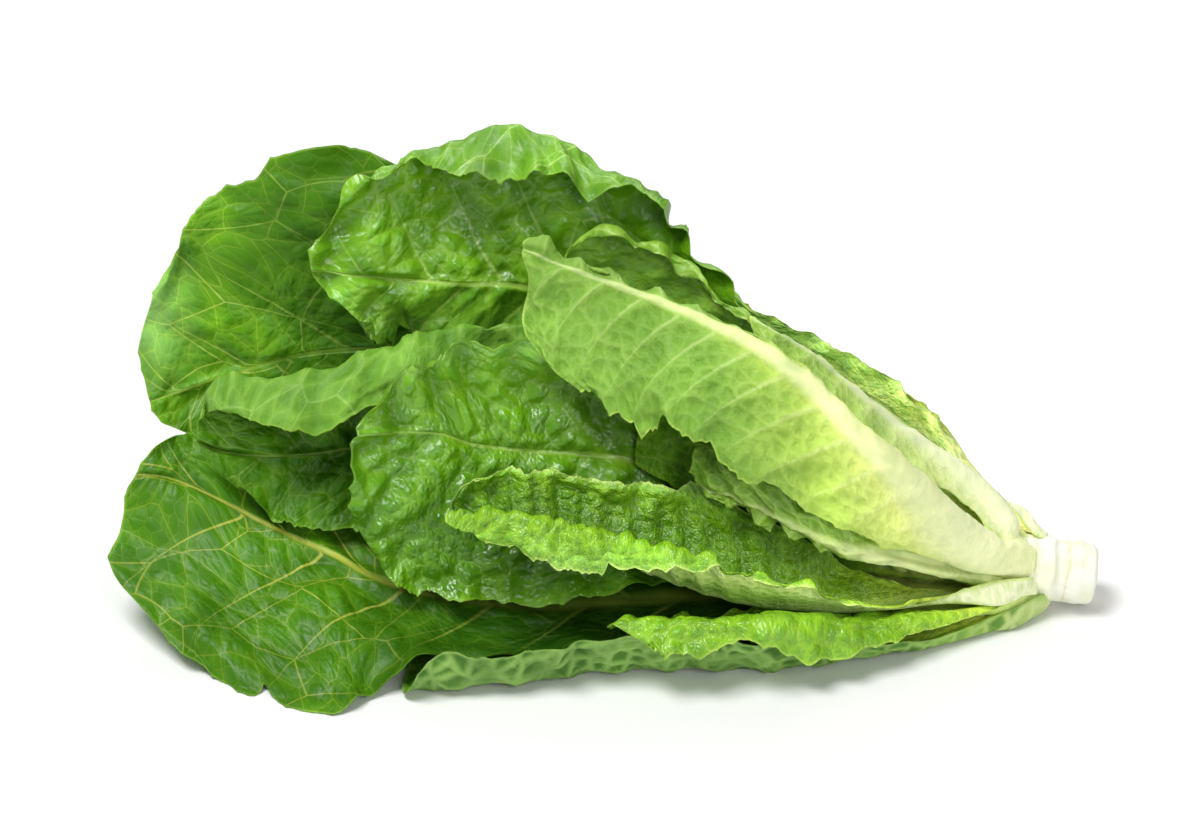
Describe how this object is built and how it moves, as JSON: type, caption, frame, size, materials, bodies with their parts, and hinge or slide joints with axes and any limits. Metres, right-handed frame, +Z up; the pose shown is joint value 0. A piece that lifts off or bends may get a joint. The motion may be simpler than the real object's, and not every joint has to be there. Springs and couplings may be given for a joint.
{
  "type": "romaine lettuce head",
  "caption": "Loose romaine lettuce head lying on its side: long ruffled green leaves with pale ribs fan out from a short cut stem.",
  "frame": {"origin": "middle of the footprint of the bounding box, on the surface that the head lies on", "axes": "+X along the head towards the cut stem, +Z up, -Y towards the open side where the lower leaves show their inner faces"},
  "size_m": [0.3372, 0.1557, 0.1476],
  "materials": {
    "stem": "satin",
    "outer_leaf": "satin",
    "bright_leaf": "satin",
    "pale_leaf": "satin",
    "grey_leaf": "satin",
    "heart_leaf": "satin"
  },
  "bodies": {
    "root": {"stem": "stem", "tall_rear_leaf": "outer_leaf", "upper_leaf": "outer_leaf", "upper_inner_leaf": "outer_leaf", "flopped_leaf": "pale_leaf", "ribbed_inner_leaf": "pale_leaf", "top_outer_leaf": "pale_leaf", "rear_ragged_leaf": "bright_leaf", "rear_outer_leaf": "pale_leaf", "rear_low_leaf": "grey_leaf", "under_leaf": "grey_leaf", "floor_leaf": "grey_leaf", "low_left_leaf": "outer_leaf", "folded_leaf": "outer_leaf", "middle_leaf": "outer_leaf", "boat_leaf": "bright_leaf", "bright_lower_leaf": "bright_leaf", "heart_top_leaf": "heart_leaf", "heart_leaf_1": "heart_leaf", "heart_leaf_2": "heart_leaf", "heart_bud": "heart_leaf"}
  },
  "joints": []
}
